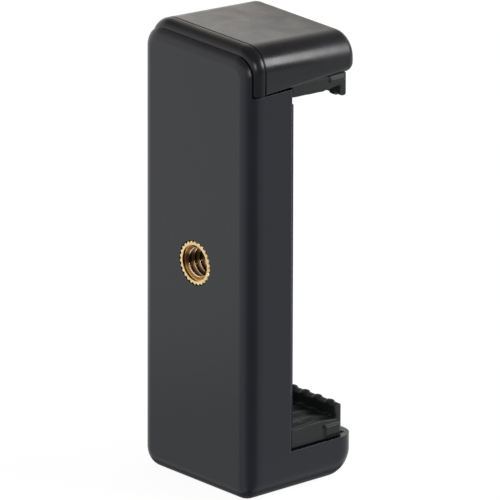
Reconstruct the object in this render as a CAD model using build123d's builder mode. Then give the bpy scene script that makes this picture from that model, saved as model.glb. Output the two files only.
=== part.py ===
"""Spring-loaded phone clamp with a threaded tripod socket in its back.

A telescoping column joins two padded jaws. The lower jaw is moulded with the
front half of the column. The upper jaw rides on a slider that two extension
springs pull down into the column. X is the width, Y runs from the back plate
to the open ends of the jaws, Z is up, and the part stands on the lower jaw.
"""

from build123d import *

import os
from math import radians, sqrt, tan

# Outer sizes of the case
case_width = 29.4
column_height = 76.2
column_depth = 10.5
lower_reach = 26.0
upper_reach = 25.5
rim_height = 7.95
upper_jaw_height = 8.6
upper_jaw_slope = 3.8
wall = 1.6
case_corner = 3.6
back_edge_round = 1.3
nose_radius = 5.2
crown_radius = 4.6
end_round = 1.8
band_round = 2.2
lower_edge_round = 1.8
column_edge_round = 0.5
seam_chamfer = 0.22

# Back plate and the seam between the two halves of the case
plate_inset = 0.45
plate_step = 1.15
plate_bottom = 0.6
plate_top_drop = 1.5
plate_corner = 3.8
plate_edge_round = 0.95
seam_depth = 4.0
back_wall = 2.0
front_wall = 2.4
tray_rib = 1.2
tray_cell_count = 3

# Clearances
seat_gap = 0.3
slide_gap = 0.25
fit_gap = 0.02
loose_gap = 0.15

# Threaded insert
insert_height = 42.2
insert_length = 7.0
insert_bore_radius = 2.6
insert_mouth_chamfer = 0.65
insert_core_radius = 3.82
knurl_radius = 0.34
knurl_count = 26
knurl_sides = 4
insert_knurl_length = 3.0
socket_wall = 1.5

# Slider
slot_half_width = 6.4
slot_top = 62.5
leg_bottom = 8.0
slider_top_drop = 2.9
stop_reach = 4.6
stop_thickness = 1.57
tongue_width = 19.0
tongue_reach = 18.0
tongue_rise = 1.5
tongue_thickness = 1.9
tongue_corner = 2.0
channel_floor = 1.5

# Springs and the pins that hold them
spring_radius = 1.8
spring_wire = 0.55
spring_clearance = 0.2
loop_radius = 1.25
pin_radius = 0.7
pin_head_radius = 1.15
pin_head_height = 0.5
pin_embed = 1.0
lower_pin_height = 4.9
upper_pin_height = 66.0
pin_boss_radius = 1.7
pin_boss_height = 0.35

# Screws
screw_shank_radius = 0.95
screw_head_radius = 1.85
screw_head_height = 1.0
screw_head_bevel = 0.35
recess_width = 0.45
recess_length = 1.9
recess_depth = 0.55
screw_hole_radius = 1.1
screw_post_radius = 2.3
screw_length = 6.0
tray_screw_height = 4.9
tray_screw_spread = 3.7
column_screw_heights = (24.0, 56.5)
jaw_screw_length = 4.6
jaw_screw_spread = 6.0
jaw_screw_depth = 14.6

# Grip pads
pad_inset = 0.7
pad_foot = 0.45
lower_pad_undercut = 1.2
end_block_inset = 0.35
end_block_depth = 3.9
end_block_drop = 0.9
end_block_round = 0.8
notch_width = 0.5
notch_depth = 0.7
notch_height = 1.3
notch_drop = 0.7
lip_thickness = 0.9
lip_slant = 0.5
lower_lip_height = 2.9
upper_lip_height = 2.4
floor_slope = 3.2
floor_crest = 4.5
floor_crest_radius = 6.0
floor_dip = 0.5
lower_pad_rise = 3.6
upper_pad_rise = 2.0
lower_pad_reach = 12.2
upper_pad_reach = 13.1
plug_depth = 2.6
plug_corner = 1.2
rib_count = 8
rib_pitch = 3.36
rib_width = 1.3
rib_height = 0.35
ridge_width = 1.1
ridge_height = 0.28
lip_tip_bevel = 0.25

# Strip on the front of the column
strip_inset = 1.5
strip_thickness = 1.0
strip_proud = 0.5
strip_gap = 1.2
strip_corner = 1.5

# Places that follow from the sizes above
half_width = case_width / 2
inner_half_width = half_width - wall
back_y = -max(lower_reach, upper_reach) / 2
plate_front_y = back_y + plate_step
cavity_back_y = back_y + back_wall
seam_y = back_y + seam_depth
column_front_y = back_y + column_depth
cavity_front_y = column_front_y - front_wall
lower_end_y = back_y + lower_reach
upper_end_y = back_y + upper_reach
jaw_base = column_height + seat_gap
jaw_top = jaw_base + upper_jaw_height
plate_top = jaw_top - plate_top_drop
band_back_y = plate_front_y + slide_gap
slider_back_y = cavity_back_y + slide_gap
slider_front_y = cavity_front_y - slide_gap
slider_depth = slider_front_y - slider_back_y
slider_half_width = inner_half_width - slide_gap
leg_centre_x = (slot_half_width + slider_half_width) / 2
channel_depth = slider_depth - channel_floor
channel_front_y = slider_back_y + channel_depth
spring_y = channel_front_y - spring_clearance - spring_radius
slider_top = jaw_top - slider_top_drop
tongue_bottom = jaw_base + tongue_rise
tongue_top = tongue_bottom + tongue_thickness
socket_radius = insert_core_radius + knurl_radius + fit_gap
socket_outer_radius = socket_radius + socket_wall
strip_back_y = column_front_y + strip_proud - strip_thickness
lower_floor = rim_height + lower_pad_rise
upper_floor = jaw_base - upper_pad_rise
jaw_screw_y = back_y + jaw_screw_depth
stop_top = leg_bottom + stop_thickness
socket_underside = insert_height - sqrt(socket_outer_radius**2 - stop_reach**2)
travel = socket_underside - seat_gap - stop_top
tray_screw_places = [(-tray_screw_spread, tray_screw_height), (tray_screw_spread, tray_screw_height)]
column_screw_places = [(0.0, height) for height in column_screw_heights]
housing_screw_places = tray_screw_places + column_screw_places
spring_places = [(-leg_centre_x, "left"), (leg_centre_x, "right")]
lower_pin_places = [(x, lower_pin_height) for x, side in spring_places]


def upright_plane(y):
    """Plane with X and Z in it, at depth y. Extruding from it by a negative amount goes towards +Y."""
    return Plane.XZ.offset(-y)


def roof_height(y):
    """Height of the upper jaw's sloping top at depth y."""
    return jaw_top - (y - seam_y) * tan(radians(upper_jaw_slope))


# Back plate, which runs the full height behind the upper jaw
with BuildPart() as back_plate:
    with BuildSketch(upright_plane(back_y)):
        with Locations((0, (plate_bottom + plate_top) / 2)):
            RectangleRounded(case_width - 2 * plate_inset, plate_top - plate_bottom, plate_corner)
    extrude(amount=-plate_step)
    fillet(back_plate.faces().sort_by(Axis.Y)[0].edges(), plate_edge_round)

# Rear housing: the back plate, the rear rim of the column and the bosses inside
with BuildPart() as rear_housing:
    with BuildSketch(upright_plane(plate_front_y)):
        with Locations((0, column_height / 2)):
            Rectangle(case_width, column_height)
    extrude(amount=-(seam_y - plate_front_y))
    fillet(rear_housing.edges().filter_by(Axis.Y).group_by(Axis.Z)[0], case_corner)
    rear_outline = rear_housing.faces().sort_by(Axis.Y)[0].edges().sort_by(Axis.Z)[:-1]
    fillet(rear_outline, back_edge_round)
    seam_outline = rear_housing.faces().sort_by(Axis.Y)[-1].edges().sort_by(Axis.Z)[:-1]
    chamfer(seam_outline, seam_chamfer)
    add(back_plate.part)

    # Space for the slider, open at the top
    with BuildSketch(upright_plane(cavity_back_y)):
        with Locations((0, (wall + column_height) / 2)):
            Rectangle(2 * inner_half_width, column_height - wall)
    extrude(amount=-(seam_y - cavity_back_y), mode=Mode.SUBTRACT)

    # Socket for the threaded insert, which reaches the front wall
    with BuildSketch(upright_plane(plate_front_y)):
        with Locations((0, insert_height)):
            Circle(socket_outer_radius)
    extrude(amount=-(cavity_front_y - plate_front_y))
    with BuildSketch(upright_plane(back_y)):
        with Locations((0, insert_height)):
            Circle(socket_radius)
    extrude(amount=-insert_length, mode=Mode.SUBTRACT)

    # Posts for the housing screws
    with BuildSketch(upright_plane(plate_front_y)):
        with Locations(*housing_screw_places):
            Circle(screw_post_radius)
    extrude(amount=-(cavity_front_y - plate_front_y))
    with BuildSketch(upright_plane(cavity_front_y)):
        with Locations(*housing_screw_places):
            Circle(screw_shank_radius + fit_gap)
    extrude(amount=screw_length, mode=Mode.SUBTRACT)

    # Low bosses for the lower spring pins
    with BuildSketch(upright_plane(plate_front_y)):
        with Locations(*lower_pin_places):
            Circle(pin_boss_radius)
    extrude(amount=-(cavity_back_y + pin_boss_height - plate_front_y))
    with BuildSketch(upright_plane(cavity_back_y - pin_embed)):
        with Locations(*lower_pin_places):
            Circle(pin_radius + fit_gap)
    extrude(amount=-(pin_embed + pin_boss_height), mode=Mode.SUBTRACT)

# Hollow of one cell in the lower jaw's tray, rounded like the nose outside it
tray_cell_width = (2 * inner_half_width - (tray_cell_count - 1) * tray_rib) / tray_cell_count
with BuildPart() as tray_cell:
    with BuildSketch(Plane.YZ) as cell_profile:
        with Locations((column_front_y, wall)):
            Rectangle(
                lower_end_y - wall - column_front_y, rim_height - wall, align=(Align.MIN, Align.MIN)
            )
        fillet(cell_profile.vertices().group_by(Axis.X)[-1].sort_by(Axis.Y)[0], nose_radius - wall)
    extrude(amount=tray_cell_width / 2, both=True)

# Front housing: the front half of the column and the lower jaw in one moulding
with BuildPart() as front_housing:
    with BuildSketch(Plane.YZ) as side_profile:
        with BuildLine():
            Polyline(
                (seam_y, 0),
                (lower_end_y, 0),
                (lower_end_y, rim_height),
                (column_front_y, rim_height),
                (column_front_y, column_height),
                (seam_y, column_height),
                close=True,
            )
        make_face()
        fillet(side_profile.vertices().group_by(Axis.X)[-1].sort_by(Axis.Y)[0], nose_radius)
    extrude(amount=half_width, both=True)
    fillet(front_housing.edges().filter_by(Axis.Y).group_by(Axis.Z)[0], case_corner)
    column_corners = front_housing.edges().filter_by(Axis.Z).filter_by_position(
        Axis.Y, column_front_y, column_front_y
    )
    fillet(column_corners, column_edge_round)
    seam_outline = front_housing.faces().sort_by(Axis.Y)[0].edges().sort_by(Axis.Z)[:-1]
    chamfer(seam_outline, seam_chamfer)

    # Space for the slider, open at the top
    with BuildSketch(upright_plane(seam_y)):
        with Locations((0, (wall + column_height) / 2)):
            Rectangle(2 * inner_half_width, column_height - wall)
    extrude(amount=-(cavity_front_y - seam_y), mode=Mode.SUBTRACT)

    # Tray with cells below and a pocket for the pad's plug above them
    with GridLocations(tray_cell_width + tray_rib, 1, tray_cell_count, 1):
        add(tray_cell.part, mode=Mode.SUBTRACT)
    with BuildSketch(Plane.XY.offset(rim_height)) as plug_pocket:
        with Locations((0, column_front_y)):
            Rectangle(
                2 * inner_half_width,
                lower_end_y - wall - column_front_y,
                align=(Align.CENTER, Align.MIN),
            )
        fillet(plug_pocket.vertices().group_by(Axis.Y)[-1], case_corner - wall)
    extrude(amount=-plug_depth, mode=Mode.SUBTRACT)

    # Recess for the strip on the front of the column
    strip_bottom = lower_floor + strip_gap
    strip_top = upper_floor - strip_gap
    with BuildSketch(upright_plane(strip_back_y)):
        with Locations((0, (strip_bottom + strip_top) / 2)):
            RectangleRounded(
                2 * (half_width - strip_inset + loose_gap),
                strip_top - strip_bottom + 2 * loose_gap,
                strip_corner + loose_gap,
            )
    extrude(amount=-strip_thickness, mode=Mode.SUBTRACT)

    # Holes and sunk seats for the housing screws
    with BuildSketch(upright_plane(cavity_front_y)):
        with Locations(*housing_screw_places):
            Circle(screw_hole_radius)
    extrude(amount=-front_wall, mode=Mode.SUBTRACT)
    for screw_places, face_y in (
        (tray_screw_places, column_front_y),
        (column_screw_places, strip_back_y),
    ):
        with BuildSketch(upright_plane(face_y)):
            with Locations(*screw_places):
                Circle(screw_head_radius + loose_gap)
        extrude(amount=screw_head_height, mode=Mode.SUBTRACT)

# Threaded insert: a brass bush with a knurled collar at its mouth
with BuildPart() as thread_insert:
    with BuildSketch(upright_plane(back_y)):
        with Locations((0, insert_height)):
            Circle(insert_core_radius)
            with PolarLocations(insert_core_radius, knurl_count):
                RegularPolygon(knurl_radius, knurl_sides)
    extrude(amount=-insert_knurl_length)
    with BuildSketch(upright_plane(back_y)):
        with Locations((0, insert_height)):
            Circle(insert_core_radius)
    extrude(amount=-insert_length)
    with BuildSketch(upright_plane(back_y)):
        with Locations((0, insert_height)):
            Circle(insert_bore_radius)
    extrude(amount=-insert_length, mode=Mode.SUBTRACT)
    mouth = thread_insert.faces().sort_by(Axis.Y)[0].inner_wires()[0].edges()
    chamfer(mouth, insert_mouth_chamfer)

# Outer form of the moving head: a sloping roof with rounded crowns
with BuildPart() as head_form:
    with BuildSketch(Plane.YZ):
        with BuildLine():
            Polyline(
                (band_back_y, jaw_base),
                (upper_end_y, jaw_base),
                (upper_end_y, roof_height(upper_end_y)),
                (band_back_y, roof_height(band_back_y)),
                close=True,
            )
        make_face()
    extrude(amount=half_width, both=True)
    roof_edges = head_form.faces().sort_by(Axis.Z)[-1].edges().sort_by(Axis.X)
    fillet([roof_edges[0], roof_edges[-1]], crown_radius)
    fillet(head_form.faces().sort_by(Axis.Y)[-1].edges().sort_by(Axis.Z)[1:], end_round)
    fillet(head_form.faces().sort_by(Axis.Y)[0].edges().sort_by(Axis.Z)[1:], band_round)

# Hollow of the upper jaw, rounded like its crowns
with BuildPart() as head_hollow:
    with BuildSketch(Plane.YZ):
        with BuildLine():
            Polyline(
                (seam_y, jaw_base),
                (upper_end_y - wall, jaw_base),
                (upper_end_y - wall, roof_height(upper_end_y - wall) - wall),
                (seam_y, roof_height(seam_y) - wall),
                close=True,
            )
        make_face()
    extrude(amount=inner_half_width, both=True)
    hollow_edges = head_hollow.faces().sort_by(Axis.Z)[-1].edges().sort_by(Axis.X)
    fillet([hollow_edges[0], hollow_edges[-1]], crown_radius - wall)

# Slider: two legs beside the insert, a head, a tongue and the visible band
with BuildPart() as slider:
    add(head_form.part)
    split(bisect_by=upright_plane(seam_y), keep=Keep.TOP)
    chamfer(slider.faces().sort_by(Axis.Y)[-1].edges().sort_by(Axis.Z)[1:], seam_chamfer)
    with BuildSketch(upright_plane(slider_back_y)) as frame_outline:
        with Locations((0, (leg_bottom + slider_top) / 2)):
            Rectangle(2 * slider_half_width, slider_top - leg_bottom)
        fillet(frame_outline.vertices().group_by(Axis.Y)[-1], crown_radius - wall)
    extrude(amount=-slider_depth)
    with BuildSketch(upright_plane(slider_back_y)):
        with Locations((0, leg_bottom)):
            Rectangle(
                2 * slot_half_width,
                slot_top - slot_half_width - leg_bottom,
                align=(Align.CENTER, Align.MIN),
            )
        with Locations((0, slot_top - slot_half_width)):
            Circle(slot_half_width)
    extrude(amount=-slider_depth, mode=Mode.SUBTRACT)

    # Stops at the feet, which meet the insert's socket when the jaw is fully open
    with BuildSketch(upright_plane(slider_back_y)):
        for side in (-1, 1):
            with Locations((side * (stop_reach + slot_half_width) / 2, (leg_bottom + stop_top) / 2)):
                Rectangle(slot_half_width - stop_reach, stop_top - leg_bottom)
    extrude(amount=-slider_depth)

    # Channels for the springs, open at the back and at the feet
    channel_top = upper_pin_height + loop_radius + spring_radius
    with BuildSketch(upright_plane(slider_back_y)):
        with Locations(*[(x, leg_bottom) for x, side in spring_places]):
            Rectangle(
                2 * (spring_radius + spring_clearance),
                channel_top - leg_bottom,
                align=(Align.CENTER, Align.MIN),
            )
    extrude(amount=-channel_depth, mode=Mode.SUBTRACT)
    with BuildSketch(upright_plane(channel_front_y)):
        with Locations(*[(x, upper_pin_height) for x, side in spring_places]):
            Circle(pin_radius + fit_gap)
    extrude(amount=-pin_embed, mode=Mode.SUBTRACT)

    # Tongue that carries the jaw's screws
    with BuildSketch(Plane.XY.offset(tongue_bottom)) as tongue_outline:
        with Locations((0, slider_back_y)):
            Rectangle(
                tongue_width,
                back_y + tongue_reach - slider_back_y,
                align=(Align.CENTER, Align.MIN),
            )
        fillet(tongue_outline.vertices().group_by(Axis.Y)[-1], tongue_corner)
    extrude(amount=tongue_thickness)
    with BuildSketch(Plane.XY.offset(tongue_bottom)):
        with Locations((-jaw_screw_spread, jaw_screw_y), (jaw_screw_spread, jaw_screw_y)):
            Circle(screw_hole_radius)
    extrude(amount=tongue_thickness, mode=Mode.SUBTRACT)

# Upper jaw: a hollow cap with two posts that stand on the slider's tongue
with BuildPart() as upper_jaw:
    add(head_form.part)
    split(bisect_by=upright_plane(seam_y), keep=Keep.BOTTOM)
    chamfer(upper_jaw.faces().sort_by(Axis.Y)[0].edges().sort_by(Axis.Z)[1:], seam_chamfer)
    fillet(upper_jaw.faces().sort_by(Axis.Y)[-1].edges().sort_by(Axis.Z)[0], lower_edge_round)
    add(head_hollow.part, mode=Mode.SUBTRACT)
    with BuildSketch(Plane.XY.offset(tongue_top)):
        with Locations((-jaw_screw_spread, jaw_screw_y), (jaw_screw_spread, jaw_screw_y)):
            Circle(screw_post_radius)
    extrude(amount=roof_height(jaw_screw_y) - wall / 2 - tongue_top)
    with BuildSketch(Plane.XY.offset(tongue_top)):
        with Locations((-jaw_screw_spread, jaw_screw_y), (jaw_screw_spread, jaw_screw_y)):
            Circle(screw_shank_radius + fit_gap)
    extrude(amount=jaw_screw_length - tongue_thickness + loose_gap, mode=Mode.SUBTRACT)


def floor_levels(reach, rise):
    """Inner side of a pad's lip, and the place and heights of the floor's crest and root, in (v, w)."""
    inner_v = reach - lip_thickness
    crest_v = inner_v - floor_crest
    crest_w = rise + (crest_v - seat_gap) * tan(radians(floor_slope))
    return inner_v, crest_v, crest_w, crest_w - floor_dip


def floor_side(reach, rise, undercut, raised):
    """Side view of a pad's floor, with v outwards from the column and w up from the jaw's rim."""
    inner_v, crest_v, crest_w, root_w = floor_levels(reach, rise)
    foot = min(pad_foot, undercut)
    with BuildSketch(Plane.YZ) as side:
        with BuildLine():
            Polyline(
                (seat_gap, undercut),
                (reach, foot),
                (reach, root_w),
                (inner_v, root_w + raised),
                (crest_v, crest_w + raised),
                (seat_gap, rise + raised),
                close=True,
            )
        make_face()
        fillet(side.vertices().filter_by_position(Axis.X, crest_v, crest_v), floor_crest_radius)
    return side.sketch


def lip_side(reach, rise, lip_height, raised):
    """Side view of a pad's lip, whose top slants down towards the phone."""
    inner_v, crest_v, crest_w, root_w = floor_levels(reach, rise)
    top_w = root_w + lip_height + raised
    with BuildSketch(Plane.YZ) as side:
        with BuildLine():
            Polyline(
                (reach, rise / 2),
                (reach, top_w),
                (inner_v, top_w - lip_slant),
                (inner_v, rise / 2),
                close=True,
            )
        make_face()
        chamfer(side.vertices().group_by(Axis.Y)[-1], lip_tip_bevel)
    return side.sketch


def make_grip_pad(reach, rise, lip_height, jaw_reach, depth, undercut, screw_pockets):
    """Ribbed grip pad in its own frame, with the rim's plane at height zero and the plug below it."""
    pad_half_width = half_width - pad_inset
    block_half_width = half_width - end_block_inset
    block_v = reach - end_block_depth
    root_w = floor_levels(reach, rise)[-1]
    foot = min(pad_foot, undercut)
    with BuildPart() as rib:
        extrude(floor_side(reach, rise, undercut, rib_height), amount=rib_width / 2, both=True)
        extrude(lip_side(reach, rise, lip_height, ridge_height), amount=ridge_width / 2, both=True)
    with BuildPart() as end_block:
        with BuildSketch(Plane.XY.offset(foot)):
            with Locations((0, block_v)):
                Rectangle(2 * block_half_width, end_block_depth, align=(Align.CENTER, Align.MIN))
        extrude(amount=root_w - end_block_drop - foot)
        fillet(end_block.edges().filter_by(Axis.Z).group_by(Axis.Y)[-1], end_block_round)
        block_faces = end_block.faces().sort_by(Axis.Z)
        fillet(block_faces[0].edges().filter_by(Axis.Y), end_block_round)
    with BuildPart() as pad:
        extrude(floor_side(reach, rise, undercut, 0), amount=pad_half_width, both=True)
        extrude(lip_side(reach, rise, lip_height, 0), amount=pad_half_width, both=True)
        add(end_block.part)
        with GridLocations(rib_pitch, 1, rib_count, 1):
            add(rib.part)

        # Notches in the sides, just before the end block
        with BuildSketch(Plane.XY.offset(root_w - notch_drop)):
            for side in (-1, 1):
                with Locations((side * pad_half_width, block_v - notch_width / 2)):
                    Rectangle(2 * notch_depth, notch_width)
        extrude(amount=-notch_height, mode=Mode.SUBTRACT)

        # Plug that holds the pad in its jaw
        with BuildSketch(Plane.XY.offset(-depth)) as plug:
            with Locations((0, seat_gap)):
                Rectangle(
                    2 * (inner_half_width - loose_gap),
                    jaw_reach - column_depth - wall - loose_gap - seat_gap,
                    align=(Align.CENTER, Align.MIN),
                )
            fillet(plug.vertices(), plug_corner)
        extrude(amount=depth + undercut)
        if screw_pockets:
            with BuildSketch(Plane.XY.offset(-depth)):
                with Locations(
                    (-jaw_screw_spread, jaw_screw_y - column_front_y),
                    (jaw_screw_spread, jaw_screw_y - column_front_y),
                ):
                    Circle(screw_head_radius + loose_gap)
            extrude(amount=screw_head_height + loose_gap, mode=Mode.SUBTRACT)
    return pad.part


# Pads: the lower one faces up and the upper one is turned over to face down
lower_pad = make_grip_pad(
    lower_pad_reach,
    lower_pad_rise,
    lower_lip_height,
    lower_reach,
    plug_depth,
    lower_pad_undercut,
    False,
)
lower_pad = Location((0, column_front_y, rim_height)) * lower_pad
upper_pad = make_grip_pad(
    upper_pad_reach, upper_pad_rise, upper_lip_height, upper_reach, tongue_rise, 0, True
)
upper_pad = Location((0, column_front_y, jaw_base), (0, 180, 0)) * upper_pad

# Soft strip on the front of the column, which covers two of the screws
with BuildPart() as front_strip:
    with BuildSketch(upright_plane(strip_back_y)):
        with Locations((0, (strip_bottom + strip_top) / 2)):
            RectangleRounded(
                2 * (half_width - strip_inset), strip_top - strip_bottom, strip_corner
            )
    extrude(amount=-strip_thickness)
    chamfer(front_strip.faces().sort_by(Axis.Y)[-1].edges(), strip_proud / 2)


def make_screw(seat, length):
    """Pan-head screw whose head stands on the given plane, with the shank going behind it."""
    with BuildPart() as screw:
        with BuildSketch(seat):
            Circle(screw_head_radius)
        extrude(amount=screw_head_height)
        head_edge = screw.edges().filter_by(GeomType.CIRCLE).sort_by(
            lambda edge: (edge.center() - seat.origin).dot(seat.z_dir)
        )[-1]
        chamfer(head_edge, screw_head_bevel)
        with BuildSketch(seat):
            Circle(screw_shank_radius)
        extrude(amount=-length)
        with BuildSketch(seat.offset(screw_head_height)):
            Rectangle(recess_length, recess_width)
            Rectangle(recess_width, recess_length)
        extrude(amount=-recess_depth, mode=Mode.SUBTRACT)
    return screw.part


def make_pin(seat, length):
    """Headed pin that stands on the given plane and is pressed into what lies behind it."""
    with BuildPart() as pin:
        with BuildSketch(seat):
            Circle(pin_radius)
        extrude(amount=length)
        extrude(pin.faces().sort_by(
            lambda face: (face.center() - seat.origin).dot(seat.z_dir)
        )[0], amount=pin_embed)
        with BuildSketch(seat.offset(length)):
            Circle(pin_head_radius)
        extrude(amount=pin_head_height)
    return pin.part


def make_spring(x):
    """Extension spring: a closely wound coil, drawn as its outer form, with a loop at each end."""
    coil_bottom = lower_pin_height + loop_radius
    coil_top = upper_pin_height - loop_radius
    with BuildPart() as spring:
        with BuildSketch(Plane.XY.offset(coil_bottom)):
            with Locations((x, spring_y)):
                Circle(spring_radius)
        extrude(amount=coil_top - coil_bottom)
        for end in (lower_pin_height, upper_pin_height):
            with BuildSketch(upright_plane(spring_y - spring_wire / 2)):
                with Locations((x, end)):
                    Circle(loop_radius + spring_wire / 2)
                    Circle(loop_radius - spring_wire / 2, mode=Mode.SUBTRACT)
            extrude(amount=-spring_wire)
    return spring.part


pieces = {
    "rear_housing": rear_housing.part,
    "front_housing": front_housing.part,
    "thread_insert": thread_insert.part,
    "slider": slider.part,
    "upper_jaw": upper_jaw.part,
    "upper_pad": upper_pad,
    "lower_pad": lower_pad,
    "front_strip": front_strip.part,
}

# Springs with the pins that they hook on
lower_pin_length = spring_y + spring_radius / 2 - cavity_back_y
upper_pin_length = channel_front_y - spring_y + spring_radius / 2
for x, side in spring_places:
    lower_seat = Plane((x, cavity_back_y, lower_pin_height), x_dir=(1, 0, 0), z_dir=(0, 1, 0))
    upper_seat = Plane((x, channel_front_y, upper_pin_height), x_dir=(1, 0, 0), z_dir=(0, -1, 0))
    pieces[f"lower_pin_{side}"] = make_pin(lower_seat, lower_pin_length)
    pieces[f"upper_pin_{side}"] = make_pin(upper_seat, upper_pin_length)
    pieces[f"spring_{side}"] = make_spring(x)

# Screws through the front wall into the posts of the rear housing
for number, (x, z) in enumerate(housing_screw_places, start=1):
    face_y = column_front_y if (x, z) in tray_screw_places else strip_back_y
    seat = Plane((x, face_y - screw_head_height, z), x_dir=(1, 0, 0), z_dir=(0, 1, 0))
    pieces[f"housing_screw_{number}"] = make_screw(seat, screw_length)

# Screws up through the tongue into the posts of the upper jaw
for x, side in ((-jaw_screw_spread, "left"), (jaw_screw_spread, "right")):
    seat = Plane((x, jaw_screw_y, tongue_bottom), x_dir=(1, 0, 0), z_dir=(0, 0, -1))
    pieces[f"jaw_screw_{side}"] = make_screw(seat, jaw_screw_length)

print(f"Travel of the upper jaw: {travel:.2f} mm")
os.makedirs("parts", exist_ok=True)
for name, piece in pieces.items():
    piece.label = name
    export_step(piece, f"parts/{name}.step")
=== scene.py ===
"""Looks for a spring-loaded phone clamp: studio, materials and the detailed pieces around the CAD frame.

Everything is in metres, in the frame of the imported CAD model: X is the width, Y runs from the back plate
to the open ends of the jaws, Z is up, and the clamp stands on its lower jaw.
"""

from math import cos, pi, radians, sin

import bpy
from mathutils import Matrix, Vector


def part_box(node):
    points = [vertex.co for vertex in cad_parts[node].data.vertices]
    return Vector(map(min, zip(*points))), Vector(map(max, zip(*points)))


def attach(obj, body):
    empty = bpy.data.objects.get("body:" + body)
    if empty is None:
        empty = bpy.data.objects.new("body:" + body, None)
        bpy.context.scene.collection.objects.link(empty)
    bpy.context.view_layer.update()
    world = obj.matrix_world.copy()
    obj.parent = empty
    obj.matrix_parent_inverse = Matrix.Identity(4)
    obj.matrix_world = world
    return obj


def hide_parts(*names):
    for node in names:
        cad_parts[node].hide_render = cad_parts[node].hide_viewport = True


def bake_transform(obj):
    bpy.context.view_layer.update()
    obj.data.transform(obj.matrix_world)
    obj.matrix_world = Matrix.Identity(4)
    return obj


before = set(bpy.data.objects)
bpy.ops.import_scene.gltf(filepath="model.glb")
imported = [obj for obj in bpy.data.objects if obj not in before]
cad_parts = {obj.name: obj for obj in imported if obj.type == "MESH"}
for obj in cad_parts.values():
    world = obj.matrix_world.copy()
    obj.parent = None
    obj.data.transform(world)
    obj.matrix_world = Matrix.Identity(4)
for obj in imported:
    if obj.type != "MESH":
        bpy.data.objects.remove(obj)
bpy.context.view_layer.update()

MM = 0.001

# The photograph's camera, with the pixels counted in a frame of 500 by 500
FRAME_PIXELS = 500
SENSOR = 36.0
CAMERA_AZIMUTH = radians(49.04)
CAMERA_ELEVATION = radians(19.14)
CAMERA_ROLL = radians(0.13)
CAMERA_DISTANCE = 2.566
TARGET = Vector((0.0, 0.0, 42.5 * MM))
TARGET_PIXEL = (249.6, 246.0)
PIXELS_PER_METRE = 5575.0


def aimed(azimuth, elevation, distance):
    """Place of a camera or light that looks at the target. Azimuth 0 is on the back plate's side."""
    outward = Vector((sin(azimuth) * cos(elevation), -cos(azimuth) * cos(elevation), sin(elevation)))
    turn = outward.to_track_quat("Z", "Y").to_matrix().to_4x4()
    return Matrix.Translation(TARGET + outward * distance) @ turn


def place_camera():
    """Sets the camera so that the target lands on its pixel at the photograph's scale."""
    data = bpy.data.cameras.new("camera")
    data.sensor_fit = "HORIZONTAL"
    data.sensor_width = SENSOR
    data.lens = PIXELS_PER_METRE * CAMERA_DISTANCE / FRAME_PIXELS * SENSOR
    data.shift_x = 0.5 - TARGET_PIXEL[0] / FRAME_PIXELS
    data.shift_y = TARGET_PIXEL[1] / FRAME_PIXELS - 0.5
    data.clip_start = 0.1
    data.clip_end = 20.0
    camera = bpy.data.objects.new("camera", data)
    place = aimed(CAMERA_AZIMUTH, CAMERA_ELEVATION, CAMERA_DISTANCE)
    camera.matrix_world = place @ Matrix.Rotation(CAMERA_ROLL, 4, "Z")
    bpy.context.scene.collection.objects.link(camera)
    bpy.context.scene.camera = camera


# Node tools
class Nodes:
    """A node tree with short calls for the nodes that the materials share."""

    def __init__(self, tree, clear=True):
        self.tree = tree
        if clear:
            tree.nodes.clear()

    def add(self, kind, inputs=None, **settings):
        """Adds a node. Inputs are numbers, colours or output sockets, by name or by position."""
        node = self.tree.nodes.new(kind)
        for name, value in settings.items():
            setattr(node, name, value)
        for name, value in (inputs or {}).items():
            socket = node.inputs[name]
            if isinstance(value, bpy.types.NodeSocket):
                self.tree.links.new(value, socket)
            else:
                socket.default_value = value
        return node

    def maths(self, operation, *values):
        """Result of a Math node."""
        return self.add("ShaderNodeMath", dict(enumerate(values)), operation=operation).outputs[0]

    def vectors(self, operation, *values, result="Vector"):
        """Result of a Vector Math node, which is a number where it says Value."""
        node = self.add("ShaderNodeVectorMath", dict(enumerate(values)), operation=operation)
        return node.outputs[result]

    def ramp(self, value, before, after=(0.0, 1.0), smooth=False):
        """Value mapped from one range to another, held at its ends."""
        inputs = {
            "Value": value,
            "From Min": before[0], "From Max": before[1], "To Min": after[0], "To Max": after[1],
        }
        kind = "SMOOTHSTEP" if smooth else "LINEAR"
        return self.add("ShaderNodeMapRange", inputs, interpolation_type=kind).outputs[0]

    def along(self, vector, direction):
        """Length of a vector along a direction."""
        return self.vectors("DOT_PRODUCT", vector, direction, result="Value")

    def noise(self, scale, detail, roughness, stretch=(1, 1, 1)):
        """Noise over the object's own coordinates, in features of about one metre over the scale."""
        place = self.add("ShaderNodeTexCoord").outputs["Object"]
        mapping = self.add("ShaderNodeMapping", {"Vector": place, "Scale": stretch})
        inputs = {
            "Vector": mapping.outputs[0], "Scale": scale, "Detail": detail, "Roughness": roughness,
        }
        return self.add("ShaderNodeTexNoise", inputs).outputs["Fac"]

    def mix(self, factor, first, second):
        """Colour between two colours."""
        return self.add("ShaderNodeMix", {0: factor, 6: first, 7: second}, data_type="RGBA").outputs[2]


def new_material(name):
    """A material and its cleared node tree."""
    material = bpy.data.materials.new(name)
    material.use_nodes = True
    return material, Nodes(material.node_tree)


def finish_material(material, nodes, shader):
    """Joins the shader to the material's output, and gives the material back."""
    output = nodes.add("ShaderNodeOutputMaterial")
    nodes.tree.links.new(shader.outputs[0], output.inputs["Surface"])
    return material


def mesh_piece(name, vertices, faces, material, smooth=True):
    """A mesh object with one material."""
    mesh = bpy.data.meshes.new(name)
    mesh.from_pydata([tuple(v) for v in vertices], [], faces)
    mesh.update()
    mesh.materials.append(material)
    for polygon in mesh.polygons:
        polygon.use_smooth = smooth
    piece = bpy.data.objects.new(name, mesh)
    bpy.context.scene.collection.objects.link(piece)
    return piece


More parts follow.
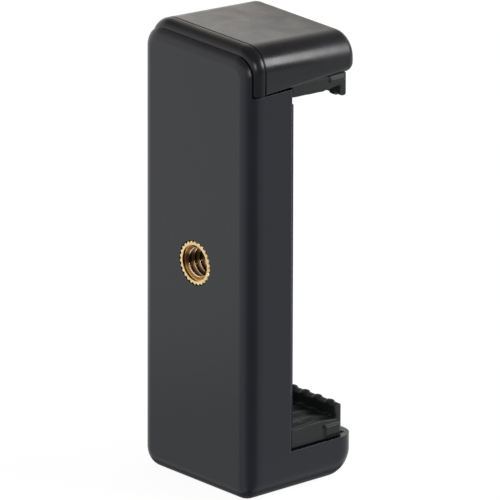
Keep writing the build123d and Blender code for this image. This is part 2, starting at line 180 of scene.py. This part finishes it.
# Studio
CEILING_LIGHT = 0.3
HORIZON_LIGHT = 1.12
HORIZON_COLOUR = (1.0, 0.975, 0.95, 1.0)
LOW_DIMMING = 0.55
DIM_LIGHT = 0.3

# Heights in the sky, as sines of the elevation
DOME_HEIGHTS = (sin(radians(18)), sin(radians(42)))
LOW_HEIGHTS = (sin(radians(4)), sin(radians(12)))

FLOOR_SIZE = 6.0
FLOOR_COLOUR = (0.88, 0.88, 0.88, 1.0)
FLOOR_SHADED = (0.14, 0.14, 0.14, 1.0)
FLOOR_GLOW = 0.93
# The floor's glow for glossy rays, with a painted contact shadow and painted shade near the clamp
MIRROR_GLOW = 0.96
MIRROR_TO_CAMERA = 0.44
MIRROR_TO_LEFT = (0.97, 1.12)
MIRROR_TO_RIGHT = 0.83
MIRROR_FAR_RIGHT = 0.5
MIRROR_CONTACT = 0.3
CONTACT_WIDTH = 1.2 * MM
SHADE_WIDTHS = (15 * MM, 100 * MM)
SHADE_DEPTHS = (0.24, -0.03)

# Directions, and the half footprint and nearest corner of the clamp on the floor
DIM_AZIMUTH = CAMERA_AZIMUTH + radians(20)
DIM_SIDE = (sin(DIM_AZIMUTH), -cos(DIM_AZIMUTH), 0.0)
BACK_RIGHT = (sin(CAMERA_AZIMUTH), cos(CAMERA_AZIMUTH), 0.0)
FOOTPRINT = (14.7 * MM, 13.0 * MM, 0.0)
NEAR_CORNER = (14.0 * MM, -12.3 * MM, 0.0)
LEFT = (-1.0, 0.0, 0.0)


def build_world():
    """Bright round the horizon, dimmer overhead and low down at the back right, and white for the camera."""
    world = bpy.data.worlds.new("world")
    bpy.context.scene.world = world
    world.use_nodes = True
    nodes = Nodes(world.node_tree)
    direction = nodes.add("ShaderNodeTexCoord").outputs["Generated"]
    height = nodes.add("ShaderNodeSeparateXYZ", {0: direction}).outputs["Z"]
    dome = nodes.ramp(height, DOME_HEIGHTS, (HORIZON_LIGHT, CEILING_LIGHT))
    to_right = nodes.ramp(nodes.along(direction, BACK_RIGHT), (0.3, 0.8), smooth=True)
    low = nodes.ramp(height, LOW_HEIGHTS, (LOW_DIMMING, 0.0), smooth=True)
    low_right = nodes.maths("SUBTRACT", 1.0, nodes.maths("MULTIPLY", to_right, low))
    dome = nodes.maths("MULTIPLY", dome, low_right)
    dim = nodes.ramp(nodes.along(direction, DIM_SIDE), (0.38, 0.95), (1.0, DIM_LIGHT), smooth=True)
    dome = nodes.maths("MULTIPLY", dome, dim)
    path = nodes.add("ShaderNodeLightPath")
    seen = path.outputs["Is Camera Ray"]
    strength = nodes.add("ShaderNodeMix", {0: seen, 2: dome, 3: 1.0}, data_type="FLOAT").outputs[0]
    colour = nodes.mix(seen, HORIZON_COLOUR, (1.0, 1.0, 1.0, 1.0))
    background = nodes.add("ShaderNodeBackground", {"Color": colour, "Strength": strength})
    output = nodes.add("ShaderNodeOutputWorld")
    nodes.tree.links.new(background.outputs[0], output.inputs["Surface"])


def mirrored_floor(nodes):
    """Glow of the floor as glossy surfaces see it, with painted shade in it: dimmer towards the camera, a
    painted contact shadow at the clamp, painted shade to the clamp's left, and dimmer far off.
    """
    place = nodes.add("ShaderNodeTexCoord").outputs["Object"]
    heading = nodes.vectors("NORMALIZE", nodes.vectors("SUBTRACT", place, NEAR_CORNER))
    camera_share = nodes.along(heading, DIM_SIDE)
    left_share = nodes.along(heading, LEFT)
    to_camera = nodes.ramp(camera_share, (0.38, 1.0), (1.0, MIRROR_TO_CAMERA), smooth=True)
    to_left = nodes.ramp(left_share, (0.60, 0.80), MIRROR_TO_LEFT, smooth=True)
    to_right = nodes.ramp(left_share, (-0.5, 0.3), (MIRROR_TO_RIGHT, 1.0), smooth=True)
    far_right = nodes.ramp(nodes.along(place, BACK_RIGHT), (0.3, 0.8), (1.0, MIRROR_FAR_RIGHT), smooth=True)
    beyond = nodes.vectors("SUBTRACT", nodes.vectors("ABSOLUTE", place), FOOTPRINT)
    gap = nodes.vectors("LENGTH", nodes.vectors("MAXIMUM", beyond, (0, 0, 0)), result="Value")
    behind = nodes.ramp(left_share, (0.2, 0.5), smooth=True)
    # Painted shade on the floor to the left of the clamp
    shade = nodes.maths("MULTIPLY", behind, nodes.ramp(gap, SHADE_WIDTHS, SHADE_DEPTHS, smooth=True))
    # Painted contact shadow right at the clamp's footprint
    close = nodes.ramp(gap, (0.0, CONTACT_WIDTH), (MIRROR_CONTACT, 1.0), smooth=True)
    close = nodes.maths("MULTIPLY", close, nodes.maths("SUBTRACT", to_right, shade))
    glow = nodes.maths("MULTIPLY", nodes.maths("MULTIPLY", to_camera, to_left), MIRROR_GLOW)
    return nodes.maths("MULTIPLY", glow, nodes.maths("MULTIPLY", close, far_right))


def build_floor():
    """Pale floor that the camera sees as white, apart from the object's soft shadow."""
    material, nodes = new_material("floor_paper")
    shade = nodes.add("ShaderNodeBsdfDiffuse", {"Color": FLOOR_COLOUR})
    faint = nodes.add("ShaderNodeBsdfDiffuse", {"Color": FLOOR_SHADED})
    glow = nodes.add("ShaderNodeEmission", {"Color": (1, 1, 1, 1), "Strength": FLOOR_GLOW})
    mirrored = nodes.add("ShaderNodeEmission", {"Color": (1, 1, 1, 1), "Strength": mirrored_floor(nodes)})
    seen = nodes.add("ShaderNodeAddShader", {0: faint.outputs[0], 1: glow.outputs[0]})
    path = nodes.add("ShaderNodeLightPath")
    direct = nodes.maths("MAXIMUM", path.outputs["Is Camera Ray"], path.outputs["Is Transmission Ray"])
    shader = nodes.add("ShaderNodeMixShader", {0: direct, 1: shade.outputs[0], 2: seen.outputs[0]})
    glossy = path.outputs["Is Glossy Ray"]
    shader = nodes.add("ShaderNodeMixShader", {0: glossy, 1: shader.outputs[0], 2: mirrored.outputs[0]})
    finish_material(material, nodes, shader)
    half = FLOOR_SIZE / 2
    corners = [(-half, -half, 0), (half, -half, 0), (half, half, 0), (-half, half, 0)]
    mesh_piece("floor", corners, [(0, 1, 2, 3)], material, smooth=False)


def softbox(name, azimuth, elevation, distance, width, height, power):
    """Area light aimed at the middle of the clamp. Its azimuth is counted like the camera's."""
    data = bpy.data.lights.new(name, "AREA")
    data.shape = "RECTANGLE"
    data.size = width
    data.size_y = height
    data.energy = power
    light = bpy.data.objects.new(name, data)
    light.matrix_world = aimed(radians(azimuth), radians(elevation), distance)
    bpy.context.scene.collection.objects.link(light)
    light.visible_camera = False


place_camera()
build_world()
build_floor()
softbox("right_softbox", azimuth=133, elevation=23, distance=1.6, width=0.9, height=0.62, power=15.0)
softbox("front_softbox", azimuth=48, elevation=20, distance=2.0, width=0.34, height=0.5, power=7.5)

# Materials
# What a noise mostly gives
NOISE_CORE = (0.35, 0.65)
NOISE_SPREAD = (0.3, 0.7)

# Scale, detail and roughness of each noise
CLOUD = (90.0, 4.0, 0.6)
TARNISH = (400.0, 4.0, 0.6)
SCRATCHES = (1500.0, 3.0, 0.6)
MOTTLE = (170.0, 3.0, 0.6)
PATCHES = (240.0, 3.0, 0.6)

SCRATCH_DEPTH = 0.0015 * MM
SIDE_TO_UP = (0.2, 0.9)
PAD_SPECULAR = (0.55, 0.40)
ROOF_SLOPE = 0.0664
ROOF_DROP = 0.6 * MM
# Painted sheen on the cap's roof: a paler base colour standing in for reflected light, strongest at the left
# and mottled
PAINTED_SHEEN_COLOUR = (0.095, 0.084, 0.070, 1.0)
SHEEN_EDGE = (0.45 * MM, 0.1 * MM)
SHEEN_ACROSS = (-13 * MM, 12 * MM)
SHEEN_FADE = (1.0, 0.15)
SHEEN_MOTTLE = (0.45, 1.25)
DULL_ALONG = (-7 * MM, 11 * MM)
DULLNESS = (0.0, 0.14)
PATCHINESS = (-0.02, 0.05)


def reopen(material):
    """The nodes of a finished material, and its shader."""
    nodes = Nodes(material.node_tree, clear=False)
    return nodes, next(node for node in nodes.tree.nodes if node.type == "BSDF_PRINCIPLED")


def moulded(name, dark, light, rough, grain, grain_depth, edge_round, ior=1.45):
    """Moulded plastic or rubber: fine grain, faint clouding of colour and gloss, and softened edges."""
    material, nodes = new_material(name)
    cloud = nodes.noise(*CLOUD)
    speck = nodes.noise(grain, 3.0, 0.55)
    colour = nodes.mix(nodes.ramp(cloud, NOISE_CORE), (*dark, 1.0), (*light, 1.0))
    gloss = nodes.maths("ADD", nodes.maths("MULTIPLY", cloud, 0.6), nodes.maths("MULTIPLY", speck, 0.4))
    bevel = nodes.add("ShaderNodeBevel", {"Radius": edge_round}, samples=4)
    bump = nodes.add("ShaderNodeBump", {
        "Strength": 1.0, "Distance": grain_depth, "Height": speck, "Normal": bevel.outputs[0],
    })
    shader = nodes.add("ShaderNodeBsdfPrincipled", {
        "Base Color": colour,
        "Roughness": nodes.ramp(gloss, NOISE_CORE, rough),
        "IOR": ior,
        "Normal": bump.outputs[0],
    })
    return finish_material(material, nodes, shader)


def matte_upward(material):
    """Gives the surfaces that face up less gloss than the sides."""
    nodes, shader = reopen(material)
    normal = nodes.add("ShaderNodeTexCoord").outputs["Normal"]
    up = nodes.add("ShaderNodeSeparateXYZ", {0: normal}).outputs["Z"]
    gloss = nodes.ramp(up, SIDE_TO_UP, PAD_SPECULAR)
    nodes.tree.links.new(gloss, shader.inputs["Specular IOR Level"])


def painted_sheen_cap(material, roof_height):
    """Paints a faint mottled sheen, a painted highlight, into the roof's base colour, and gives a duller
    finish towards the jaw's open end.
    """
    nodes, shader = reopen(material)
    colour = shader.inputs["Base Color"].links[0].from_socket
    rough = shader.inputs["Roughness"].links[0].from_socket
    place = nodes.add("ShaderNodeSeparateXYZ", {0: nodes.add("ShaderNodeTexCoord").outputs["Object"]})
    level = nodes.maths("ADD", place.outputs["Z"], nodes.maths("MULTIPLY", place.outputs["Y"], ROOF_SLOPE))
    roof = nodes.ramp(level, [roof_height - drop for drop in SHEEN_EDGE], smooth=True)
    across = nodes.ramp(place.outputs["X"], SHEEN_ACROSS, SHEEN_FADE)
    mottle = nodes.ramp(nodes.noise(*MOTTLE), NOISE_SPREAD, SHEEN_MOTTLE, smooth=True)
    sheen = nodes.maths("MULTIPLY", nodes.maths("MULTIPLY", roof, across), mottle)
    # Painted sheen: the roof's base colour is made paler, most at the left, as a painted highlight
    roof_with_painted_sheen = nodes.mix(sheen, colour, PAINTED_SHEEN_COLOUR)
    nodes.tree.links.new(roof_with_painted_sheen, shader.inputs["Base Color"])
    dull = nodes.ramp(place.outputs["Y"], DULL_ALONG, DULLNESS)
    patchy = nodes.ramp(nodes.noise(*PATCHES), NOISE_SPREAD, PATCHINESS, smooth=True)
    worn = nodes.maths("ADD", nodes.maths("ADD", rough, dull), patchy)
    nodes.tree.links.new(worn, shader.inputs["Roughness"])


def metal(name, dark, light, rough):
    """Turned or drawn metal: fine scratches and slight tarnish."""
    material, nodes = new_material(name)
    tarnish = nodes.noise(*TARNISH)
    scratches = nodes.noise(*SCRATCHES, stretch=(1, 6, 1))
    bump = nodes.add("ShaderNodeBump", {
        "Strength": 1.0, "Distance": SCRATCH_DEPTH, "Height": scratches,
    })
    shader = nodes.add("ShaderNodeBsdfPrincipled", {
        "Base Color": nodes.mix(nodes.ramp(tarnish, NOISE_CORE), (*dark, 1.0), (*light, 1.0)),
        "Metallic": 1.0,
        "Roughness": nodes.ramp(scratches, NOISE_SPREAD, rough),
        "Normal": bump.outputs[0],
    })
    return finish_material(material, nodes, shader)


case_plastic = moulded(
    "case_plastic", (0.0038, 0.0050, 0.0098), (0.0048, 0.0062, 0.0122), rough=(0.25, 0.32),
    grain=2600.0, grain_depth=0.0015 * MM, edge_round=0.15 * MM,
)
cap_plastic = moulded(
    "cap_plastic", (0.0035, 0.0042, 0.0065), (0.0045, 0.0052, 0.0085), rough=(0.20, 0.26),
    grain=2600.0, grain_depth=0.0025 * MM, edge_round=0.15 * MM,
)
painted_sheen_cap(cap_plastic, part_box("slider")[1].z - ROOF_DROP)
pad_rubber = moulded(
    "pad_rubber", (0.0145, 0.0165, 0.0165), (0.0185, 0.0205, 0.0205), rough=(0.40, 0.52),
    grain=2200.0, grain_depth=0.004 * MM, edge_round=0.12 * MM, ior=1.33,
)
matte_upward(pad_rubber)
strip_rubber = moulded(
    "strip_rubber", (0.0045, 0.0045, 0.0047), (0.0070, 0.0070, 0.0073), rough=(0.58, 0.72),
    grain=1800.0, grain_depth=0.007 * MM, edge_round=0.12 * MM, ior=1.28,
)
brass = metal("brass", (0.70, 0.51, 0.24), (0.84, 0.67, 0.38), rough=(0.34, 0.46))
pin_steel = metal("pin_steel", (0.50, 0.50, 0.50), (0.62, 0.62, 0.61), rough=(0.25, 0.40))
spring_steel = metal("spring_steel", (0.42, 0.42, 0.43), (0.56, 0.56, 0.56), rough=(0.22, 0.36))
screw_steel = metal("screw_steel", (0.08, 0.08, 0.085), (0.14, 0.14, 0.145), rough=(0.35, 0.50))

finishes = {
    "rear_housing": case_plastic,
    "front_housing": case_plastic,
    "slider": cap_plastic,
    "upper_jaw": cap_plastic,
    "upper_pad": pad_rubber,
    "lower_pad": pad_rubber,
    "front_strip": strip_rubber,
    "thread_insert": brass,
}
for name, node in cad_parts.items():
    if "pin" in name:
        finish = pin_steel
    elif "spring" in name:
        finish = spring_steel
    elif "screw" in name:
        finish = screw_steel
    else:
        finish = finishes[name]
    node.data.materials.clear()
    node.data.materials.append(finish)

# Case
CASE_CORNER = 3.6 * MM
CASE_TOP_CORNER = 4.4 * MM
BACK_ROUND = 2.7 * MM
TONGUE_DEPTH = 1.15 * MM
SEAM_DEPTH = 4.0 * MM
RIM_RISE = 0.22 * MM
TOLERANCE = 0.01 * MM

# A point this near the back and the outline is drawn onto the rounded edge or the flat side
SKIN_DEPTH = 1.9 * MM
SKIN_REACH = 1.95 * MM
RIM_REACH = 1.35 * MM
SIDE_REACH = 0.3 * MM
SKIN_FACING = 0.7


def outline_place(x, z, half, top):
    """How far inside the case's outline a point lies, and the outline's normal beside it, in X and Z."""
    if z < top / 2:
        corner, sign = CASE_CORNER, -1.0
        up = corner - z
    else:
        corner, sign = CASE_TOP_CORNER, 1.0
        up = z - (top - corner)
    side = 1.0 if x > 0 else -1.0
    across = abs(x) - (half - corner)
    if across > 0 and up > 0:
        length = (across * across + up * up) ** 0.5
        return corner - length, (side * across / length, sign * up / length)
    if across > up:
        return corner - across, (side, 0.0)
    return corner - up, (0.0, sign)


def round_inset(depth):
    """How far the rounded back edge stands in from the outline at a depth."""
    if depth >= BACK_ROUND:
        return 0.0
    return BACK_ROUND - (BACK_ROUND**2 - (BACK_ROUND - depth) ** 2) ** 0.5


def build_case(name, node_name, half, top, back, rim, rounded):
    """Copy of one half of the case, with the back's edge in one soft rounding and the seam closed."""
    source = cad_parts[node_name].data
    vertices, skin = [], {}
    for vertex in source.vertices:
        place = vertex.co.copy()
        depth = place.y - back
        inside, normal = outline_place(place.x, place.z, half, top)
        inset = None
        if rounded and (
            depth < SKIN_DEPTH and inside < SKIN_REACH or depth < BACK_ROUND and inside < RIM_REACH
        ):
            inset = round_inset(depth)
        elif depth < SEAM_DEPTH + SIDE_REACH and inside < SIDE_REACH:
            inset = 0.0
        if inset is not None:
            place.x += normal[0] * (inside - inset)
            place.z += normal[1] * (inside - inset)
            lean = max(0.0, (BACK_ROUND - depth) / BACK_ROUND)
            flat = (1 - lean * lean) ** 0.5
            skin[vertex.index] = Vector((normal[0] * flat, -lean, normal[1] * flat))
        if abs(place.z - rim) < TOLERANCE:
            place.z += RIM_RISE
        vertices.append(place)
    faces, normals = [], []
    for polygon in source.polygons:
        corners = [vertices[v] for v in polygon.vertices]
        cross = (corners[1] - corners[0]).cross(corners[2] - corners[0])
        if cross.length < 1e-12:
            continue
        flat = cross.normalized()
        on_seam = all(abs(c.y - back - SEAM_DEPTH) < TOLERANCE for c in corners)
        if on_seam and any(v in skin for v in polygon.vertices):
            continue
        faces.append(list(polygon.vertices))
        for corner, loop in zip(polygon.vertices, polygon.loop_indices):
            smooth = skin.get(corner)
            if smooth is not None and smooth.dot(flat) > SKIN_FACING:
                normals.append(smooth)
            elif smooth is not None or rounded:
                normals.append(flat)
            else:
                normals.append(source.corner_normals[loop].vector.copy())
    piece = mesh_piece(name, vertices, faces, case_plastic)
    piece.data.normals_split_custom_set([tuple(n) for n in normals])
    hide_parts(node_name)
    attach(piece, "housing")


rear_low, rear_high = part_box("rear_housing")
front_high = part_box("front_housing")[1]
case_top = rear_high.z + round_inset(TONGUE_DEPTH)
for case_name, case_node, rounded in (
    ("case_back", "rear_housing", True), ("case_front", "front_housing", False),
):
    build_case(case_name, case_node, rear_high.x, case_top, rear_low.y, front_high.z, rounded)

# Cap
CAP_LOWER_ROUND = 1.6 * MM
CAP_REAR_ROUND = 0.35 * MM
CAP_REAR_DEPTH = 0.5 * MM
CAP_ROUND_SPREAD = 0.26 * MM


def build_cap():
    """Copy of the upper jaw whose lower side edges tighten towards the column."""
    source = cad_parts["upper_jaw"].data
    low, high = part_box("upper_jaw")
    share = CAP_REAR_ROUND / CAP_LOWER_ROUND
    vertices = []
    for vertex in source.vertices:
        place = vertex.co.copy()
        across = abs(place.x) - (high.x - CAP_LOWER_ROUND)
        down = low.z + CAP_LOWER_ROUND - place.z
        at_rear = place.y < low.y + CAP_REAR_DEPTH and min(across, down) > -TOLERANCE
        if at_rear and abs((across * across + down * down) ** 0.5 - CAP_LOWER_ROUND) < CAP_ROUND_SPREAD:
            side = 1 if place.x > 0 else -1
            place.x = side * (high.x - CAP_REAR_ROUND + across * share)
            place.z = low.z + CAP_REAR_ROUND - down * share
        vertices.append(place)
    faces = [list(polygon.vertices) for polygon in source.polygons]
    normals = [tuple(corner.vector) for corner in source.corner_normals]
    piece = mesh_piece("cap", vertices, faces, cap_plastic)
    piece.data.normals_split_custom_set(normals)
    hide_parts("upper_jaw")
    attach(piece, "moving_jaw")


build_cap()

# Soft strip on the front of the column
STRIP_INSET = 0.5 * MM
STRIP_NODE_PROUD = 0.5 * MM
STRIP_PROUD = 0.62 * MM
STRIP_ROUND = 0.3 * MM
STRIP_STEPS = 5


def build_strip():
    """Soft strip whose rounded edge shows beside the column."""
    low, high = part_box("front_strip")
    half = rear_high.x - STRIP_INSET
    back = low.y
    front = high.y - STRIP_NODE_PROUD + STRIP_PROUD
    outline = [(-half, back), (half, back)]
    for side in (1, -1):
        for k in range(STRIP_STEPS + 1):
            turn = pi / 2 * (k if side > 0 else STRIP_STEPS - k) / STRIP_STEPS
            across = half - STRIP_ROUND + STRIP_ROUND * cos(turn)
            outline.append((side * across, front - STRIP_ROUND + STRIP_ROUND * sin(turn)))
    count = len(outline)
    vertices = [(x, y, z) for z in (low.z, high.z) for x, y in outline]
    faces = [tuple(range(count))[::-1], tuple(range(count, 2 * count))]
    for k in range(count):
        n = (k + 1) % count
        faces.append((k, n, count + n, count + k))
    piece = mesh_piece("soft_strip", vertices, faces, strip_rubber)
    piece.data.set_sharp_from_angle(angle=radians(40))
    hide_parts("front_strip")
    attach(piece, "housing")


build_strip()

# Pads
PAD_VOXEL = 0.17
PAD_SMOOTHING = 5
PAD_KEPT = 0.4
LOWER_FOOT = 8.4 * MM
UPPER_FOOT = 76.5 * MM
FOOT_EDGE = 12.9 * MM
FOOT_DROP = 0.37 * MM
FOOT_RISE = 0.2 * MM
LOWER_LIP_FRONT = 9.7 * MM
UPPER_LIP_FRONT = 10.6 * MM
LIP_REACH = 1.25 * MM
LIP_FADE = 0.3 * MM
LIP_HEIGHT = 2.9 * MM
LIP_ROOT = 0.35 * MM
LIP_LEAN = 0.45 * MM

# Boxes that close the undercuts of the pads' feet: the low and the high corner of each, in millimetres
LOWER_FILLERS = (((-14.0, -2.2, 8.02), (14.0, 9.5, 9.6)), ((-13.9, 5.2, 9.0), (13.9, 7.0, 10.3)))
UPPER_FILLERS = (((-13.9, -2.2, 75.6), (13.9, 9.6, 76.6)),)


def boxed(low, high):
    """Corners and faces of a box."""
    corners = [
        Vector((x, y, z)) for z in (low[2], high[2]) for y in (low[1], high[1]) for x in (low[0], high[0])
    ]
    faces = [(0, 2, 3, 1), (4, 5, 7, 6), (0, 1, 5, 4), (2, 6, 7, 3), (0, 4, 6, 2), (1, 3, 7, 5)]
    return corners, faces


def build_pad(name, node_name, body, foot, upward, lip_front, fillers):
    """Soft copy of a grip pad: its edges are rounded as moulded rubber's are, and its lip is fuller.

    It is formed in millimetres, and brought to metres at the end.
    """
    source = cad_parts[node_name].data
    low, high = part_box(node_name)
    tip = high.z if upward else low.z
    vertices = []
    for vertex in source.vertices:
        place = vertex.co.copy()
        if abs(place.z - foot) < 5 * TOLERANCE and abs(place.x) > FOOT_EDGE:
            place.z -= FOOT_DROP if upward else -FOOT_RISE
        below_tip = tip - place.z if upward else place.z - tip
        share = (LIP_HEIGHT - below_tip) / LIP_HEIGHT
        if share > -0.02 and lip_front - LIP_REACH < place.y < lip_front:
            fade = min(1.0, (lip_front - place.y) / LIP_FADE)
            place.y -= fade * (LIP_ROOT + LIP_LEAN * min(1.0, max(0.0, share)))
        vertices.append(place / MM)
    faces = [list(polygon.vertices) for polygon in source.polygons]
    for filler in fillers:
        corners, sides = boxed(*filler)
        faces += [[len(vertices) + c for c in side] for side in sides]
        vertices += corners
    form = mesh_piece(name + "_form", vertices, faces, pad_rubber)
    remesh = form.modifiers.new("remesh", "REMESH")
    remesh.mode = "VOXEL"
    remesh.voxel_size = PAD_VOXEL
    smooth = form.modifiers.new("smooth", "SMOOTH")
    smooth.iterations = PAD_SMOOTHING
    decimate = form.modifiers.new("decimate", "DECIMATE")
    decimate.ratio = PAD_KEPT
    ready = form.evaluated_get(bpy.context.evaluated_depsgraph_get())
    mesh = bpy.data.meshes.new_from_object(ready)
    mesh.transform(Matrix.Scale(MM, 4))
    mesh.materials.clear()
    mesh.materials.append(pad_rubber)
    for polygon in mesh.polygons:
        polygon.use_smooth = True
    bpy.data.objects.remove(form)
    piece = bpy.data.objects.new(name, mesh)
    bpy.context.scene.collection.objects.link(piece)
    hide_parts(node_name)
    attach(piece, body)


build_pad("lower_grip", "lower_pad", "housing", LOWER_FOOT, True, LOWER_LIP_FRONT, LOWER_FILLERS)
build_pad("upper_grip", "upper_pad", "moving_jaw", UPPER_FOOT, False, UPPER_LIP_FRONT, UPPER_FILLERS)

# Threaded insert
THREAD_PITCH = 1.27 * MM
THREAD_RADIUS = 3.175 * MM
THREAD_CREST = 0.13
THREAD_ROOT = 0.14
BORE_RADIUS = 2.6 * MM
MOUTH_RADIUS = 3.38 * MM
MOUTH_DEPTH = 0.5 * MM
MOUTH_SLOPE = 3
MOUTH_LIP = 0.04 * MM
CORE_RADIUS = 3.82 * MM
KNURL_LENGTH = 3.0 * MM
KNURL_COUNT = 26
KNURL_EDGE = 0.12 * MM
KNURL_FULLNESS = 0.7
THREAD_STEPS = 208
DEPTH_STEPS = 180

# The bore's brass, with painted light: a painted highlight on the crests, painted shade in the grooves, and
# a band of painted shade at the height of the axis.
CREST_RADII = (BORE_RADIUS + 0.02 * MM, BORE_RADIUS + 0.2 * MM)
MOUTH_RADII = (THREAD_RADIUS + 0.025 * MM, THREAD_RADIUS + 0.105 * MM)
SHADE_HEIGHTS = (0.5 * MM, 1.7 * MM)
BORE_TARNISH = (900.0, 3.0, 0.6)
BORE_ROUGHNESS = (0.16, 0.24)
CREST_HIGHLIGHT = (1.0, 0.86, 0.70, 1.0)
GROOVE_SHADE_DARK = (0.17, 0.070, 0.020, 1.0)
GROOVE_SHADE_LIGHT = (0.34, 0.16, 0.050, 1.0)
MOUTH_COLOUR = (0.66, 0.45, 0.15, 1.0)
SHADED_GROOVE = (0.050, 0.028, 0.011, 1.0)
SHADED_MOUTH = (0.24, 0.125, 0.030, 1.0)


def thread_metal(name):
    """Cut brass inside the bore: painted bright highlights on the crests over dark, amber grooves of painted
    shade, with a band of painted shade at the axis's height.
    """
    material, nodes = new_material(name)
    low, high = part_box("thread_insert")
    centre = (0.0, 0.0, (low.z + high.z) / 2)
    offset = nodes.vectors("SUBTRACT", nodes.add("ShaderNodeTexCoord").outputs["Object"], centre)
    radius = nodes.vectors("LENGTH", nodes.vectors("MULTIPLY", offset, (1.0, 0.0, 1.0)), result="Value")
    crest = nodes.ramp(radius, CREST_RADII, (1.0, 0.0), smooth=True)
    mouth = nodes.ramp(radius, MOUTH_RADII)
    height = nodes.maths("ABSOLUTE", nodes.add("ShaderNodeSeparateXYZ", {0: offset}).outputs["Z"])
    away = nodes.ramp(height, SHADE_HEIGHTS, smooth=True)
    tarnish = nodes.ramp(nodes.noise(*BORE_TARNISH), NOISE_SPREAD)
    # The grooves' dark amber tones are painted shade on the brass, varied at random
    groove = nodes.mix(mouth, nodes.mix(tarnish, GROOVE_SHADE_DARK, GROOVE_SHADE_LIGHT), MOUTH_COLOUR)
    # Painted highlight on the crests
    bright = nodes.mix(crest, groove, CREST_HIGHLIGHT)
    # Painted shade in a band at the height of the axis
    shadow = nodes.mix(mouth, SHADED_GROOVE, SHADED_MOUTH)
    shader = nodes.add("ShaderNodeBsdfPrincipled", {
        "Base Color": nodes.mix(away, shadow, bright),
        "Metallic": 1.0,
        "Roughness": nodes.ramp(tarnish, (0.0, 1.0), BORE_ROUGHNESS),
    })
    return finish_material(material, nodes, shader)


def thread_radius(turn, depth):
    """Radius of the bore's surface: a right-hand groove with narrow crests and a narrow flat root."""
    phase = (depth / THREAD_PITCH - turn / (2 * pi)) % 1.0
    flank = (1 - THREAD_CREST - THREAD_ROOT) / 2
    share = max(0.0, min((phase - THREAD_CREST) / flank, 1.0, (1 - phase) / flank))
    return BORE_RADIUS + (THREAD_RADIUS - BORE_RADIUS) * share


def build_insert():
    """Brass insert: a knurled collar outside and a cut thread inside."""
    low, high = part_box("thread_insert")
    axis_z = (low.z + high.z) / 2
    tip_radius = (high.x - low.x) / 2
    length = high.y - low.y
    step = length / DEPTH_STEPS
    rings = [(length - k * step, "bore") for k in range(DEPTH_STEPS + 1)]
    rings += [(0.0, "mouth"), (0.0, "face"), (KNURL_EDGE, "knurl"), (KNURL_LENGTH - KNURL_EDGE, "knurl")]
    rings += [(KNURL_LENGTH, "core"), (length, "core"), (length, "back")]
    vertices = []
    for depth, part in rings:
        for k in range(THREAD_STEPS):
            turn = 2 * pi * k / THREAD_STEPS
            tooth = (0.5 + 0.5 * cos(KNURL_COUNT * turn)) ** KNURL_FULLNESS
            knurl = CORE_RADIUS + (tip_radius - CORE_RADIUS) * tooth
            mouth = MOUTH_RADIUS - MOUTH_SLOPE * max(0.0, depth - MOUTH_DEPTH)
            radius = {
                "bore": max(thread_radius(turn, depth), mouth),
                "mouth": MOUTH_RADIUS + MOUTH_LIP,
                "face": knurl - KNURL_EDGE,
                "knurl": knurl,
                "core": CORE_RADIUS,
                "back": THREAD_RADIUS,
            }[part]
            vertices.append((radius * sin(turn), low.y + depth, axis_z + radius * cos(turn)))
    count = len(rings)
    faces = []
    for r in range(count):
        here, there = r * THREAD_STEPS, (r + 1) % count * THREAD_STEPS
        for k in range(THREAD_STEPS):
            n = (k + 1) % THREAD_STEPS
            faces.append((here + k, here + n, there + n, there + k))
    piece = mesh_piece("threaded_insert", vertices, faces, brass)
    piece.data.materials.append(thread_metal("bore_brass"))
    for polygon in piece.data.polygons[:DEPTH_STEPS * THREAD_STEPS]:
        polygon.material_index = 1
    piece.data.set_sharp_from_angle(angle=radians(28))
    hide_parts("thread_insert")
    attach(piece, "housing")


build_insert()

# Springs
WIRE_RADIUS = 0.27 * MM
WIRE_SIDES = 8
COIL_RADIUS = 1.52 * MM
COIL_TURNS = 106
COIL_STEPS = 20
LOOP_RADIUS = 1.25 * MM
LOOP_STEPS = 28


def sweep(path, radius, sides):
    """Tube round a path, with closed ends."""
    vertices, faces = [], []
    side = Vector((0, 1, 0))
    for k, place in enumerate(path):
        ahead = (path[min(k + 1, len(path) - 1)] - path[max(k - 1, 0)]).normalized()
        side = (side - ahead * side.dot(ahead)).normalized()
        other = ahead.cross(side)
        for n in range(sides):
            turn = 2 * pi * n / sides
            vertices.append(place + (side * cos(turn) + other * sin(turn)) * radius)
    for k in range(len(path) - 1):
        for n in range(sides):
            m = (n + 1) % sides
            faces.append((k * sides + n, k * sides + m, (k + 1) * sides + m, (k + 1) * sides + n))
    last = (len(path) - 1) * sides
    faces.append(tuple(range(sides))[::-1])
    faces.append(tuple(range(last, last + sides)))
    return vertices, faces


def build_spring(side):
    """Closely wound coil with a round loop over the pin at each end."""
    low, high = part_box(f"spring_{side}")
    x, y = (low.x + high.x) / 2, (low.y + high.y) / 2
    reach = LOOP_RADIUS + WIRE_RADIUS
    lower_pin, upper_pin = low.z + reach, high.z - reach
    coil_low, coil_high = lower_pin + LOOP_RADIUS, upper_pin - LOOP_RADIUS
    path = []
    for k in range(LOOP_STEPS):
        turn = 2 * pi * (k / LOOP_STEPS - 1)
        path.append(Vector((x + LOOP_RADIUS * sin(turn), y, lower_pin + LOOP_RADIUS * cos(turn))))
    steps = COIL_TURNS * COIL_STEPS
    for k in range(steps + 1):
        turn = 2 * pi * k / COIL_STEPS
        ease = min(1.0, k / COIL_STEPS, (steps - k) / COIL_STEPS)
        height = coil_low + (coil_high - coil_low) * k / steps
        path.append(Vector((x + COIL_RADIUS * ease * sin(turn), y + COIL_RADIUS * ease * cos(turn), height)))
    for k in range(1, LOOP_STEPS + 1):
        turn = pi + 2 * pi * k / LOOP_STEPS
        path.append(Vector((x + LOOP_RADIUS * sin(turn), y, upper_pin + LOOP_RADIUS * cos(turn))))
    vertices, faces = sweep(path, WIRE_RADIUS, WIRE_SIDES)
    piece = mesh_piece(f"coil_{side}", vertices, faces, spring_steel)
    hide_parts(f"spring_{side}")
    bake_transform(piece)


build_spring("left")
build_spring("right")

bpy.context.scene.view_settings.view_transform = "Standard"
